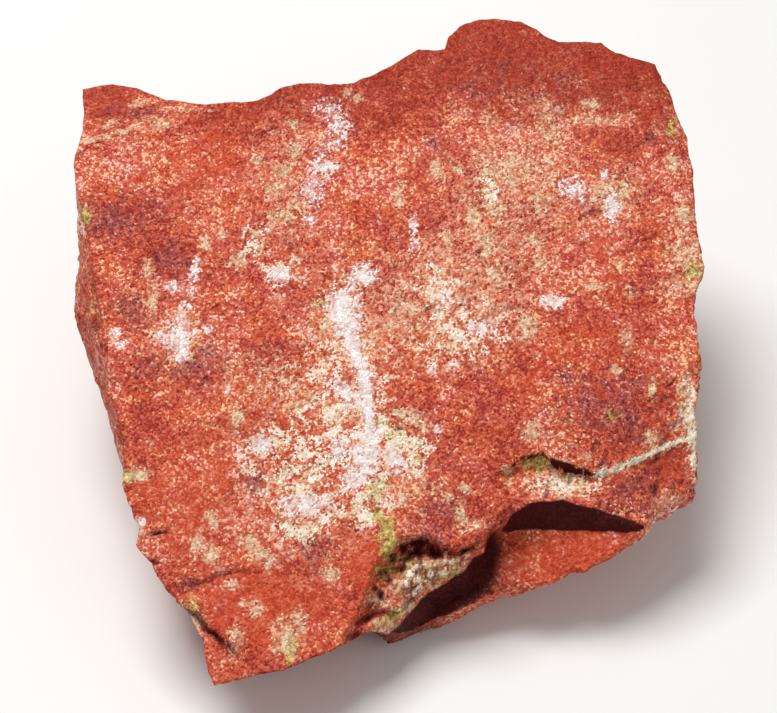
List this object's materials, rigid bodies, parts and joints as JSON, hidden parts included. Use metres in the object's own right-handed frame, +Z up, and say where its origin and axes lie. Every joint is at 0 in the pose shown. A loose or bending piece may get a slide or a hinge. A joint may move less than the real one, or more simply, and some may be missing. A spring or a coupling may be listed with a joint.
{
  "type": "thulite rock specimen",
  "caption": "Broken hand piece of pink thulite with a broad granular face, a bitten front corner and a ledge, resting on a small flat spot.",
  "frame": {"origin": "on the floor under the middle of the stone's box", "axes": "+Z up from the floor, the broad face tips down towards -Y, +X to the right of one who looks along +Y"},
  "size_m": [0.0834, 0.0876, 0.0424],
  "materials": {
    "thulite": "granular, sugary broken rock, matt with small sparkles"
  },
  "bodies": {
    "root": {"thulite": "thulite"}
  },
  "joints": []
}
